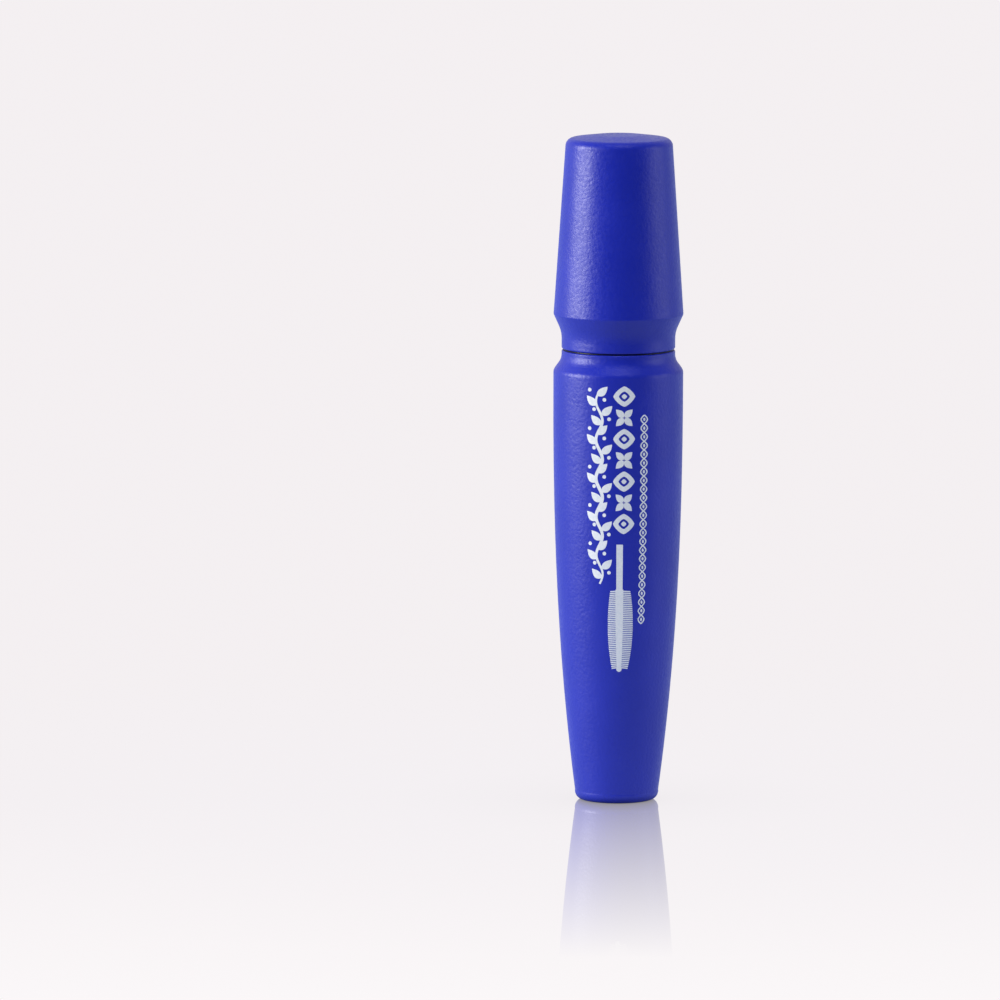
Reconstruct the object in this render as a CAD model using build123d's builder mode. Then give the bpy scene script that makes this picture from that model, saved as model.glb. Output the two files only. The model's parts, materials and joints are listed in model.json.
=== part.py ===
from build123d import *

import os
from math import cos, radians, sin

# A mascara tube, standing on its base with the cap screwed on. A round barrel holds an inner vial, and
# the cap carries the wand: a stem, and a brush of bristles held in a twisted wire. +Z is the tube's
# axis and the origin is the middle of the base. Lengths are in millimetres.

# Outside
BODY_R = 10.52  # widest radius of the barrel and of the cap
WAIST_R = 9.2  # radius of the waist, where the barrel and the cap meet
JOINT_Z = 73.5  # top of the barrel
JOINT_GAP = 0.25  # open line between the barrel and the cap
TOP_Z = 108.45
SOFT_EDGE = 0.25  # rounding of the moulded rims at the joint

# Barrel
FOOT_R = 5.4  # outer edge of the flat ring that the tube stands on
CORNER_Z = 1.6  # height of the rounding between the foot and the side
SHOULDER_Z = (70.24, 72.07)  # lower and upper ends of the shoulder's slope
SHOULDER_BEND_R = (1.2, 2.4)  # its bends into the side and into the waist
BARREL_DROP = 3.75  # how much narrower the barrel is at the foot
BARREL_POWER = 2.44  # how suddenly it narrows
BARREL_WALL = 1.2
WALL_Z = (2.6, 69.24)  # ends of the curved inner wall
BARREL_FLOOR = 1.6
FLOOR_R = 4.2  # edge of the floor inside
RECESS_R = 4.0  # dished middle of the base, for the sticker
RECESS_H = 0.4
MOUTH_R = 7.95  # mouth that the vial drops through
MOUTH_Z = 71.07  # foot of the mouth's straight wall
SEAT_R = 8.25  # counterbore for the vial's flange
SEAT_Z = 72.4

# Inner vial and its neck
VIAL_R = 7.8
VIAL_WALL = 0.8
VIAL_FLOOR = 0.9
VIAL_FOOT_R = 4.9
VIAL_FOOT_WALL = 0.7
VIAL_Z = 2.0
VIAL_TAPER_Z = 30.0  # the vial is straight above this height
VIAL_BEND_R = 20.0
FLANGE_R = 8.2
NECK_R = 5.65
NECK_BORE_R = 4.9
NECK_TOP_Z = 83.9
NECK_FOOT_Z = (69.9, 72.2)  # lower and upper ends of the bore's slope under the neck
VIAL_EDGE = (1.2, 1.0, 0.8)  # rounding of the foot outside and inside, and of the slope's ends
SNAP_Z = 80.0  # bead on the wiper, and the groove it snaps into
SNAP_R = 0.22

# Screw thread between the neck and the inner cap, right-handed
LEAD = 3.2  # rise in one turn
TURNS_TO_OPEN = 1.5
NECK_CREST_R = 6.2
NECK_THREAD_Z = 76.8  # height at which the neck's ridge starts, on the +X side
NECK_THREAD_TURNS = 1.375
CAP_CREST_R = 5.75
CAP_THREAD_Z = 77.8
CAP_THREAD_TURNS = 1.1
RIDGE_ROOT = 1.3  # a ridge's width at its root and at its crest
RIDGE_CREST = 0.6
RIDGE_BURIED = 0.15  # how far a ridge runs into its wall
RIDGE_RAMP = 18  # angle over which each end of a ridge rises from the wall
RIDGE_OFFSET = 1.0  # the cap's ridge runs this far under the neck's ridge

# Wiper
WIPER_FLANGE_R = 5.6
WIPER_FLANGE_H = 0.7
WIPER_R = 4.85
WIPER_WALL = 0.45
WIPER_CONE_Z = 76.0
WIPER_LIP_Z = 71.5
WIPER_LIP_H = 0.5
WIPER_LIP_W = 0.3
WIPER_MOUTH = (0.35, 0.8)  # width and height of the flare that leads the brush in
LIP_GAP = 0.02  # between the lip and the stem

# Mascara
FILL_GAP = 0.03  # between the paste and what it touches
FILL_TOP_Z = 60.0
FILL_RIM_W = 0.6  # how far the rim of the channel slopes
FILL_RIM_H = (1.2, 1.0)  # paste above the middle level at the wall, and the rim's slope
CHANNEL_R = 4.38  # channel that the brush keeps open in the paste
CHANNEL_Z = (6.8, 10.2)  # the slope where the channel narrows
POCKET_TOP_R = 3.5
POCKET_R = 2.9  # the channel's end, around the brush's tip
POCKET_Z = 4.3
POCKET_BEND_R = 0.5
FILL_BEND_R = 0.4

# Sticker
STICKER_R = 3.5
STICKER_H = 0.12

# Cap
CAP_SLOPE_Z = (76.4, 79.35)  # lower and upper ends of the skirt's slope
SKIRT_BEND_R = 5.0
CREASE_R = 0.5  # rounding of the crease over the skirt
CAP_TOP_R = 8.62
CAP_TOP_EDGE = 1.3
CROWN_H = 0.65  # how far the cap's top falls from its flat middle to its edge
CROWN_FLAT_R = 3.6
CROWN_BEND_R = 10.0
CAP_BORE_R = 7.2
CAP_CORE_R = 6.8  # radius of the cap's hollow at its top
CAP_CORE_Z = 106.2

# Inner cap
INNER_MOUTH_Z = 74.55
INNER_R = 7.0
RIB_R = 7.14  # crests of the ribs that grip the cap's bore
RIB_COUNT = 36
RIB_Z = 77.5
RIB_W = 0.5
INNER_BORE_R = 6.35
INNER_CHAMFER = 0.3  # of the mouth and of the socket's taper
CEILING_Z = 85.65
INNER_TOP_Z = 88.5
SOCKET_R = 4.0
SOCKET_TOP_Z = 97.5
SOCKET_GAP = 0.02  # between the socket and the stem

# Washer
WASHER_R = (2.6, 6.1)  # hole and rim
WASHER_GAP = 0.03

# Wand
STEM_R = 2.49
STEM_Z = (32.6, 96.5)
STEM_TIP_EDGE = 0.3
GROOVE_Z = (89.0, 91.0, 93.0)  # grip grooves in the stem's root
GROOVE_R = 0.12
WIRE_HOLE_R = 0.8
WIRE_HOLE_END = 0.5  # how far the hole runs past the wire
WIRE_R = 0.34
TWIST_R = 0.36  # radius of the helix that each strand of the wire follows
TWIST_LEAD = 2.38
WIRE_Z = (5.9, 42.2)
BRISTLE_Z = (7.2, 32.5)
BRISTLE_CUT = (0.8, 0.6)  # width and height of the slope round the brush's tip
BRISTLE_R = (3.05, 3.85, 4.25, 4.2, 3.9)  # radius of the brush, from its tip to the stem
BRISTLE_BORE_R = 0.75
BEAD_Z = (4.6, 7.1)  # paste on the brush's tip
BEAD_R = (1.1, 2.1, 2.7)  # its radius at its end, its middle and the bristles
BEAD_BEND_R = (0.5, 2.0, 0.2)
BEAD_SKIN = 0.5  # paste over the wire's bend
FILM_R = 2.6  # paste on the stem's end
FILM_H = 3.1
FILM_EDGE = 0.04


def barrel_radius(z):
    """Outer radius of the barrel's side at height z, from the foot's corner to the shoulder."""
    return BODY_R - BARREL_DROP * ((SHOULDER_Z[0] - z) / (SHOULDER_Z[0] - CORNER_Z)) ** BARREL_POWER


def barrel_side(low, high, inset=0.0):
    """Six points up the barrel's side, moved inwards by inset."""
    heights = [low + (high - low) * i / 5 for i in range(6)]
    return [(barrel_radius(z) - inset, z) for z in heights]


def polar(r, angle):
    """The point at radius r and an angle in degrees."""
    return (r * cos(radians(angle)), r * sin(radians(angle)))


def thread_ridge(start_z, turns, wall_r, crest_r):
    """A right-handed helical ridge on a round wall, from the +X side, with ends that ramp to the wall."""
    outward = 1 if crest_r > wall_r else -1
    height = outward * (crest_r - wall_r)
    beyond_r = crest_r + outward
    with BuildPart() as ridge:
        with BuildLine() as path:
            Helix(pitch=LEAD, height=LEAD * turns, radius=wall_r, center=(0, 0, start_z))
        with BuildSketch(Plane(origin=path.line @ 0, x_dir=(outward, 0, 0), z_dir=path.line % 0)):
            with BuildLine():
                Polyline(
                    (-RIDGE_BURIED, -RIDGE_ROOT / 2),
                    (0, -RIDGE_ROOT / 2),
                    (height, -RIDGE_CREST / 2),
                    (height, RIDGE_CREST / 2),
                    (0, RIDGE_ROOT / 2),
                    (-RIDGE_BURIED, RIDGE_ROOT / 2),
                    close=True,
                )
            make_face()
        sweep(is_frenet=True)
        for end, into in ((0, 1), (turns, -1)):
            base = 360 * end
            ramp = base + into * RIDGE_RAMP
            before = base - into * RIDGE_RAMP
            with BuildSketch(Plane.XY.offset(start_z + LEAD * end)):
                with BuildLine():
                    Polyline(
                        polar(wall_r, base),
                        polar(crest_r, ramp),
                        polar(beyond_r, ramp),
                        polar(beyond_r, before),
                        polar(wall_r, before),
                        close=True,
                    )
                make_face()
            extrude(amount=RIDGE_ROOT, both=True, mode=Mode.SUBTRACT)
    return ridge.part


# Barrel: a curved shell with a rounded foot, a dished base and a mouth with a seat for the vial
with BuildPart() as barrel_shell:
    with BuildSketch(Plane.XZ):
        with BuildLine():
            Polyline((0, RECESS_H), (RECESS_R - RECESS_H, RECESS_H), (RECESS_R, 0), (FOOT_R, 0))
            side = Spline(*barrel_side(CORNER_Z, SHOULDER_Z[0] - SHOULDER_BEND_R[0] / 2))
            TangentArc((FOOT_R, 0), side @ 0, tangent=(1, 0))
            FilletPolyline(
                side @ 1,
                (BODY_R, SHOULDER_Z[0]),
                (WAIST_R, SHOULDER_Z[1]),
                (WAIST_R, JOINT_Z),
                (SEAT_R, JOINT_Z),
                radius=[*SHOULDER_BEND_R, SOFT_EDGE],
            )
            bore = Polyline(
                (SEAT_R, JOINT_Z),
                (SEAT_R, SEAT_Z),
                (MOUTH_R, SEAT_Z),
                (MOUTH_R, MOUTH_Z),
            )
            wall = Spline(*barrel_side(WALL_Z[0], WALL_Z[1], BARREL_WALL))
            Line(bore @ 1, wall @ 1)
            Polyline(wall @ 0, (FLOOR_R, BARREL_FLOOR), (0, BARREL_FLOOR), (0, RECESS_H))
        make_face()
    revolve(axis=Axis.Z)

# Inner vial: a deep cup that hangs by its flange, with a threaded neck
vial_floor = VIAL_Z + VIAL_FLOOR
vial_bore_r = VIAL_R - VIAL_WALL
vial_bore_foot_r = VIAL_FOOT_R - VIAL_FOOT_WALL
with BuildPart() as inner_vial:
    with BuildSketch(Plane.XZ):
        with BuildLine():
            FilletPolyline(
                (0, VIAL_Z),
                (VIAL_FOOT_R, VIAL_Z),
                (VIAL_R, VIAL_TAPER_Z),
                (VIAL_R, SEAT_Z),
                radius=[VIAL_EDGE[0], VIAL_BEND_R],
            )
            Polyline(
                (VIAL_R, SEAT_Z),
                (FLANGE_R, SEAT_Z),
                (FLANGE_R, JOINT_Z),
                (NECK_R, JOINT_Z),
                (NECK_R, NECK_TOP_Z),
                (NECK_BORE_R, NECK_TOP_Z),
                (NECK_BORE_R, SNAP_Z + SNAP_R),
            )
            groove = ThreePointArc(
                (NECK_BORE_R, SNAP_Z + SNAP_R),
                (NECK_BORE_R + SNAP_R, SNAP_Z),
                (NECK_BORE_R, SNAP_Z - SNAP_R),
            )
            FilletPolyline(
                groove @ 1,
                (NECK_BORE_R, NECK_FOOT_Z[1]),
                (vial_bore_r, NECK_FOOT_Z[0]),
                (vial_bore_r, VIAL_TAPER_Z),
                (vial_bore_foot_r, vial_floor),
                (0, vial_floor),
                radius=[VIAL_EDGE[2], VIAL_EDGE[2], VIAL_BEND_R, VIAL_EDGE[1]],
            )
            Line((0, vial_floor), (0, VIAL_Z))
        make_face()
    revolve(axis=Axis.Z)
    add(thread_ridge(NECK_THREAD_Z, NECK_THREAD_TURNS, NECK_R, NECK_CREST_R))

# Wiper: a flange on the neck, a thin tube with a snap bead, and a cone down to a lip around the stem
wiper_top = NECK_TOP_Z + WIPER_FLANGE_H
wiper_bore_r = WIPER_R - WIPER_WALL
lip_r = STEM_R + LIP_GAP
wiper_mouth_r = wiper_bore_r + WIPER_MOUTH[0]
bead_h = 0.8 * SNAP_R
with BuildPart() as wiper:
    with BuildSketch(Plane.XZ):
        with BuildLine():
            Polyline(
                (wiper_mouth_r, wiper_top),
                (WIPER_FLANGE_R, wiper_top),
                (WIPER_FLANGE_R, NECK_TOP_Z),
                (WIPER_R, NECK_TOP_Z),
                (WIPER_R, SNAP_Z + bead_h),
            )
            bead = ThreePointArc(
                (WIPER_R, SNAP_Z + bead_h),
                (WIPER_R + bead_h, SNAP_Z),
                (WIPER_R, SNAP_Z - bead_h),
            )
            Polyline(
                bead @ 1,
                (WIPER_R, WIPER_CONE_Z),
                (lip_r + WIPER_LIP_W, WIPER_LIP_Z),
                (lip_r, WIPER_LIP_Z),
                (lip_r, WIPER_LIP_Z + WIPER_LIP_H),
                (wiper_bore_r, WIPER_CONE_Z + WIPER_LIP_W),
                (wiper_bore_r, wiper_top - WIPER_MOUTH[1]),
                (wiper_mouth_r, wiper_top),
            )
        make_face()
    revolve(axis=Axis.Z)

# Mascara: the paste in the vial, with the channel that the brush keeps open
with BuildPart() as mascara_fill:
    with BuildSketch(Plane.XZ):
        with BuildLine():
            FilletPolyline(
                (0, vial_floor + FILL_GAP),
                (vial_bore_foot_r - FILL_GAP, vial_floor + FILL_GAP),
                (vial_bore_r - FILL_GAP, VIAL_TAPER_Z),
                (vial_bore_r - FILL_GAP, FILL_TOP_Z + FILL_RIM_H[0]),
                (CHANNEL_R + FILL_RIM_W, FILL_TOP_Z),
                (CHANNEL_R, FILL_TOP_Z - FILL_RIM_H[1]),
                (CHANNEL_R, CHANNEL_Z[1]),
                (POCKET_TOP_R, CHANNEL_Z[0]),
                (POCKET_R, POCKET_Z),
                (0, POCKET_Z),
                radius=[
                    VIAL_EDGE[1],
                    VIAL_BEND_R,
                    FILL_BEND_R / 2,
                    FILL_BEND_R,
                    FILL_BEND_R,
                    2 * POCKET_BEND_R,
                    POCKET_BEND_R,
                    POCKET_BEND_R,
                ],
            )
            Line((0, POCKET_Z), (0, vial_floor + FILL_GAP))
        make_face()
    revolve(axis=Axis.Z)

# Sticker: a blank disc in the dished base
with BuildPart() as base_sticker:
    with BuildSketch(Plane.XY.offset(RECESS_H - STICKER_H)):
        Circle(STICKER_R)
    extrude(amount=STICKER_H)

# Cap: a tapered cup with a waisted skirt
cap_mouth_z = JOINT_Z + JOINT_GAP
with BuildPart() as cap_shell:
    with BuildSketch(Plane.XZ):
        with BuildLine():
            FilletPolyline(
                (CAP_BORE_R, cap_mouth_z),
                (WAIST_R, cap_mouth_z),
                (WAIST_R, CAP_SLOPE_Z[0]),
                (BODY_R, CAP_SLOPE_Z[1]),
                (CAP_TOP_R, TOP_Z - CROWN_H),
                (CROWN_FLAT_R, TOP_Z),
                (0, TOP_Z),
                radius=[SOFT_EDGE, SKIRT_BEND_R, CREASE_R, CAP_TOP_EDGE, CROWN_BEND_R],
            )
            Polyline(
                (0, TOP_Z),
                (0, CAP_CORE_Z),
                (CAP_CORE_R, CAP_CORE_Z),
                (CAP_BORE_R, INNER_TOP_Z),
                (CAP_BORE_R, cap_mouth_z),
            )
        make_face()
    revolve(axis=Axis.Z)

# Inner cap: a threaded insert with grip ribs outside, and a socket that holds the stem
stem_bore_r = STEM_R + SOCKET_GAP
with BuildPart() as inner_cap:
    with BuildSketch(Plane.XZ):
        with BuildLine():
            Polyline(
                (INNER_BORE_R + INNER_CHAMFER, INNER_MOUTH_Z),
                (INNER_R, INNER_MOUTH_Z),
                (INNER_R, INNER_TOP_Z),
                (SOCKET_R, INNER_TOP_Z),
                (SOCKET_R - INNER_CHAMFER, SOCKET_TOP_Z),
                (0, SOCKET_TOP_Z),
                (0, STEM_Z[1]),
                (stem_bore_r, STEM_Z[1]),
                (stem_bore_r, CEILING_Z),
                (INNER_BORE_R, CEILING_Z),
                (INNER_BORE_R, INNER_MOUTH_Z + INNER_CHAMFER),
                close=True,
            )
        make_face()
    revolve(axis=Axis.Z)
    with BuildSketch(Plane.XY.offset(RIB_Z)):
        with PolarLocations(INNER_R, RIB_COUNT):
            Rectangle(2 * (RIB_R - INNER_R), RIB_W)
    extrude(amount=INNER_TOP_Z - RIB_Z)
    cap_thread_turn = 360 * (CAP_THREAD_Z - NECK_THREAD_Z + RIDGE_OFFSET) / LEAD
    with Locations(Rotation(0, 0, cap_thread_turn)):
        add(thread_ridge(CAP_THREAD_Z, CAP_THREAD_TURNS, INNER_BORE_R, CAP_CREST_R))

# Sealing washer, between the inner cap's ceiling and the top of the neck
with BuildPart() as sealing_washer:
    with BuildSketch(Plane.XY.offset(wiper_top + WASHER_GAP)):
        Circle(WASHER_R[1])
        Circle(WASHER_R[0], mode=Mode.SUBTRACT)
    extrude(amount=CEILING_Z - wiper_top - 2 * WASHER_GAP)

# Stem: a round rod, grooved where the inner cap grips it, with a hole for the wire
with BuildPart() as stem:
    with BuildSketch(Plane.XY.offset(STEM_Z[0])):
        Circle(STEM_R)
    extrude(amount=STEM_Z[1] - STEM_Z[0])
    chamfer(stem.edges().group_by(Axis.Z)[-1], STEM_TIP_EDGE)
    fillet(stem.edges().group_by(Axis.Z)[0], STEM_TIP_EDGE)
    with BuildSketch(Plane.XZ):
        with Locations(*[(STEM_R, z) for z in GROOVE_Z]):
            Circle(GROOVE_R)
    revolve(axis=Axis.Z, mode=Mode.SUBTRACT)
    with BuildSketch(Plane.XY.offset(STEM_Z[0])):
        Circle(WIRE_HOLE_R)
    extrude(amount=WIRE_Z[1] - STEM_Z[0] + WIRE_HOLE_END, mode=Mode.SUBTRACT)

# Brush wire: one wire bent double and twisted, with its bend at the brush's tip
with BuildPart() as strand:
    with BuildLine() as twist:
        Helix(pitch=TWIST_LEAD, height=WIRE_Z[1] - WIRE_Z[0], radius=TWIST_R, center=(0, 0, WIRE_Z[0]))
    with BuildSketch(Plane(origin=twist.line @ 0, x_dir=(1, 0, 0), z_dir=twist.line % 0)):
        Circle(WIRE_R)
    sweep(is_frenet=True)
with BuildPart() as brush_wire:
    with BuildSketch(Plane.XY.offset(WIRE_Z[0])):
        with Locations((TWIST_R, 0)):
            Circle(WIRE_R)
    revolve(axis=Axis((0, 0, WIRE_Z[0]), (0, 1, 0)), revolution_arc=180)
    with PolarLocations(0, 2):
        add(strand.part)

# Bristles: the brush's outline as one solid, bored for the wire
bristle_start_z = BRISTLE_Z[0] + BRISTLE_CUT[1]
bristle_step = (BRISTLE_Z[1] - bristle_start_z) / (len(BRISTLE_R) - 1)
with BuildPart() as bristles:
    with BuildSketch(Plane.XZ):
        with BuildLine():
            outline = Spline(*[(r, bristle_start_z + i * bristle_step) for i, r in enumerate(BRISTLE_R)])
            Polyline(
                outline @ 1,
                (BRISTLE_BORE_R, BRISTLE_Z[1]),
                (BRISTLE_BORE_R, BRISTLE_Z[0]),
                (BRISTLE_R[0] - BRISTLE_CUT[0], BRISTLE_Z[0]),
                outline @ 0,
            )
        make_face()
    revolve(axis=Axis.Z)

# Tip paste: a blunt bead that caps the brush's tip
with BuildPart() as tip_paste:
    with BuildSketch(Plane.XZ):
        with BuildLine():
            FilletPolyline(
                (0, BEAD_Z[0]),
                (BEAD_R[0], BEAD_Z[0]),
                (BEAD_R[1], (BEAD_Z[0] + BEAD_Z[1]) / 2),
                (BEAD_R[2], BEAD_Z[1]),
                (BRISTLE_BORE_R, BEAD_Z[1]),
                radius=BEAD_BEND_R,
            )
            Polyline(
                (BRISTLE_BORE_R, BEAD_Z[1]),
                (BRISTLE_BORE_R, BEAD_Z[0] + BEAD_SKIN),
                (0, BEAD_Z[0] + BEAD_SKIN),
                (0, BEAD_Z[0]),
            )
        make_face()
    revolve(axis=Axis.Z)

# Stem paste: the ring that the wiper leaves, which meets the stem's end once the cap is unscrewed
film_z = STEM_Z[0] + LEAD * TURNS_TO_OPEN
with BuildPart() as stem_paste:
    with BuildSketch(Plane.XZ):
        with BuildLine():
            FilletPolyline(
                (lip_r, film_z),
                (FILM_R, film_z),
                (FILM_R, film_z + FILM_H),
                (lip_r, film_z + FILM_H),
                radius=FILM_EDGE,
            )
            Line((lip_r, film_z + FILM_H), (lip_r, film_z))
        make_face()
    revolve(axis=Axis.Z)

os.makedirs("parts", exist_ok=True)
barrel_shell.part.label = "barrel_shell"
export_step(barrel_shell.part, "parts/barrel_shell.step")
inner_vial.part.label = "inner_vial"
export_step(inner_vial.part, "parts/inner_vial.step")
wiper.part.label = "wiper"
export_step(wiper.part, "parts/wiper.step")
mascara_fill.part.label = "mascara_fill"
export_step(mascara_fill.part, "parts/mascara_fill.step")
base_sticker.part.label = "base_sticker"
export_step(base_sticker.part, "parts/base_sticker.step")
cap_shell.part.label = "cap_shell"
export_step(cap_shell.part, "parts/cap_shell.step")
inner_cap.part.label = "inner_cap"
export_step(inner_cap.part, "parts/inner_cap.step")
sealing_washer.part.label = "sealing_washer"
export_step(sealing_washer.part, "parts/sealing_washer.step")
stem.part.label = "stem"
export_step(stem.part, "parts/stem.step")
brush_wire.part.label = "brush_wire"
export_step(brush_wire.part, "parts/brush_wire.step")
bristles.part.label = "bristles"
export_step(bristles.part, "parts/bristles.step")
tip_paste.part.label = "tip_paste"
export_step(tip_paste.part, "parts/tip_paste.step")
stem_paste.part.label = "stem_paste"
export_step(stem_paste.part, "parts/stem_paste.step")
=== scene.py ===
import json
import math
import random

import bpy
from mathutils import Matrix, Quaternion, Vector, noise


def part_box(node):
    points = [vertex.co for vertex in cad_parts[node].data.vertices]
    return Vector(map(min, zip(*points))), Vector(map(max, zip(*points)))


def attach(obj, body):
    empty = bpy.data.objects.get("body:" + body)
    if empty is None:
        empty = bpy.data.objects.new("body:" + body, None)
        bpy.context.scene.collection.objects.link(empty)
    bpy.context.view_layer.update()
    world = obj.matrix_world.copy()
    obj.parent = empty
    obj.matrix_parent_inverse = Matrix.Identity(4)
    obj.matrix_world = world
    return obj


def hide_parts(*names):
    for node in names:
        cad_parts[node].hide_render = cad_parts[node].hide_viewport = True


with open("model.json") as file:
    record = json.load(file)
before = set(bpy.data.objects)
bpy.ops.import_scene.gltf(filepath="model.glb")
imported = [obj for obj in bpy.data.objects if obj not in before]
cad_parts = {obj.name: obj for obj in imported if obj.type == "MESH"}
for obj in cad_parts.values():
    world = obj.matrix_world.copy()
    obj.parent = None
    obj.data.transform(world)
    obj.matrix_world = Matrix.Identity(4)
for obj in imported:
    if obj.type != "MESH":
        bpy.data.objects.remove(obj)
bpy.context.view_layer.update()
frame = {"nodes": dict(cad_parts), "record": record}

# The visual model of a mascara tube. Lengths are in metres, in the CAD's frame: +Z is the tube's axis,
# the origin is the middle of the base, and the printed side faces -Y.

MM = 0.001

nodes = frame["nodes"]
random.seed(7)


# ---------------------------------------------------------------- materials

# A pair is the darkest and the lightest tone of a material whose colour varies
BLUES = (0.0080, 0.0185, 0.35), (0.0110, 0.0225, 0.39)
FOAM_WHITES = (0.68, 0.68, 0.66), (0.82, 0.82, 0.80)
PASTE_BLUES = (0.010, 0.011, 0.24), (0.026, 0.03, 0.44)
BRISTLE_BLUES = (0.008, 0.008, 0.16), (0.02, 0.022, 0.36)
PAPER_WHITES = (0.74, 0.74, 0.76), (0.84, 0.84, 0.86)
INK_WHITES = (0.70, 0.75, 0.76), (0.82, 0.84, 0.81)
BLACK = (0.006, 0.006, 0.007)
MILK = (0.72, 0.73, 0.76)
STEEL = (0.5, 0.5, 0.52)


def middle_tone(tones):
    """The tone halfway between two."""
    return tuple((first + second) / 2 for first, second in zip(*tones))


def new_material(name, color, roughness, **inputs):
    """A principled material. Returns it with its node tree and its principled node."""
    material = bpy.data.materials.new(name)
    material.use_nodes = True
    tree = material.node_tree
    principled = tree.nodes["Principled BSDF"]
    principled.inputs["Base Color"].default_value = (*color, 1.0)
    principled.inputs["Roughness"].default_value = roughness
    for key, value in inputs.items():
        principled.inputs[key.replace("_", " ")].default_value = value
    return material, tree, principled


def add_node(tree, kind, **settings):
    """A shader node with its properties and inputs set: a name that is an input sets the input."""
    node = tree.nodes.new(kind)
    for key, value in settings.items():
        label = key.replace("_", " ")
        if label in node.inputs:
            node.inputs[label].default_value = value
        else:
            setattr(node, key, value)
    return node


def object_coordinates(tree, scale=(1.0, 1.0, 1.0)):
    """The object's own coordinates, stretched by scale."""
    place = tree.nodes.new("ShaderNodeTexCoord")
    mapping = add_node(tree, "ShaderNodeMapping")
    mapping.inputs["Scale"].default_value = scale
    tree.links.new(place.outputs["Object"], mapping.inputs["Vector"])
    return mapping.outputs["Vector"]


def noise_texture(tree, place, size, detail=2.0, distortion=0.0):
    """Noise with bumps of about the given size in metres. Returns its factor."""
    node = add_node(tree, "ShaderNodeTexNoise", Scale=1 / size, Detail=detail, Distortion=distortion)
    tree.links.new(place, node.inputs["Vector"])
    return node.outputs["Fac"]


def voronoi_texture(tree, place, size, feature="SMOOTH_F1"):
    """Cells of about the given size in metres. Returns the distance to a cell's point."""
    node = add_node(tree, "ShaderNodeTexVoronoi", Scale=1 / size, feature=feature)
    tree.links.new(place, node.inputs["Vector"])
    return node.outputs["Distance"]


def map_range(tree, socket, from_low, from_high, to_low, to_high, curve="LINEAR"):
    """A socket's value mapped from one range to another and held inside it."""
    node = add_node(tree, "ShaderNodeMapRange", From_Min=from_low, From_Max=from_high, To_Min=to_low,
                    To_Max=to_high, interpolation_type=curve)
    tree.links.new(socket, node.inputs["Value"])
    return node.outputs["Result"]


def spread(tree, factor, low, high):
    """The middle of a noise's range, where most of it lies, mapped to a value between low and high."""
    return map_range(tree, factor, 0.3, 0.7, low, high)


def blend_colors(tree, factor, first, second):
    """Mixes two colours by a factor."""
    node = add_node(tree, "ShaderNodeMix", data_type="RGBA")
    node.inputs[6].default_value = (*first, 1.0)
    node.inputs[7].default_value = (*second, 1.0)
    tree.links.new(factor, node.inputs["Factor"])
    return node.outputs[2]


def vary_color(tree, principled, factor, tones):
    """Lets a material's colour follow a factor between its darkest and its lightest tone."""
    tree.links.new(blend_colors(tree, factor, *tones), principled.inputs["Base Color"])


def bump(tree, principled, *layers):
    """Stacks bumps on a material. Each layer is a height and its depth in metres."""
    normal = None
    for height, depth in layers:
        node = add_node(tree, "ShaderNodeBump", Strength=1.0, Distance=depth)
        tree.links.new(height, node.inputs["Height"])
        if normal:
            tree.links.new(normal, node.inputs["Normal"])
        normal = node.outputs["Normal"]
    tree.links.new(normal, principled.inputs["Normal"])


def soft_touch_blue():
    """Blue plastic under a satin soft-touch coat, finely mottled like orange peel."""
    material, tree, principled = new_material("soft_touch_blue", middle_tone(BLUES), 0.4)
    place = object_coordinates(tree)
    cloud = noise_texture(tree, place, 9 * MM, detail=3.0)
    vary_color(tree, principled, spread(tree, cloud, 0.0, 1.0), BLUES)
    grain = noise_texture(tree, place, 0.5 * MM, detail=1.6)
    dents = map_range(tree, voronoi_texture(tree, place, 1.3 * MM, feature="F1"), 0.06, 0.3, 0.0, 1.0)
    wave = noise_texture(tree, place, 5 * MM, detail=1.0)
    tree.links.new(spread(tree, grain, 0.33, 0.46), principled.inputs["Roughness"])
    bump(tree, principled, (wave, 0.08 * MM), (dents, 0.011 * MM), (grain, 0.042 * MM))
    return material


def black_plastic():
    """Plain black moulded plastic with a faint drawn grain."""
    material, tree, principled = new_material("black_plastic", BLACK, 0.32, Specular_IOR_Level=0.4)
    place = object_coordinates(tree, (1.0, 1.0, 0.12))
    grain = noise_texture(tree, place, 0.3 * MM)
    tree.links.new(spread(tree, grain, 0.29, 0.36), principled.inputs["Roughness"])
    bump(tree, principled, (grain, 0.002 * MM))
    return material


def wiper_plastic():
    """Milky soft polyethylene."""
    material, tree, principled = new_material("wiper_plastic", MILK, 0.38, Subsurface_Weight=0.35,
                                              Subsurface_Scale=1.2 * MM)
    place = object_coordinates(tree)
    grain = noise_texture(tree, place, 0.8 * MM)
    tree.links.new(spread(tree, grain, 0.32, 0.45), principled.inputs["Roughness"])
    bump(tree, principled, (grain, 0.01 * MM))
    return material


def washer_foam():
    """White foamed polyethylene with a fine closed-cell skin."""
    material, tree, principled = new_material("washer_foam", middle_tone(FOAM_WHITES), 0.7)
    place = object_coordinates(tree)
    cells = voronoi_texture(tree, place, 0.25 * MM)
    vary_color(tree, principled, cells, FOAM_WHITES)
    bump(tree, principled, (cells, 0.04 * MM))
    return material


def mascara_paste():
    """Wet blue paste: glossy, uneven, darker where it is thick."""
    material, tree, principled = new_material("mascara_paste", middle_tone(PASTE_BLUES), 0.2,
                                              Coat_Weight=0.6, Coat_Roughness=0.08)
    place = object_coordinates(tree)
    streak = noise_texture(tree, place, 0.7 * MM, detail=3.0, distortion=0.6)
    vary_color(tree, principled, spread(tree, streak, 0.0, 1.0), PASTE_BLUES)
    lumps = noise_texture(tree, place, 0.35 * MM)
    tree.links.new(spread(tree, lumps, 0.14, 0.32), principled.inputs["Roughness"])
    bump(tree, principled, (lumps, 0.05 * MM))
    return material


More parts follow.
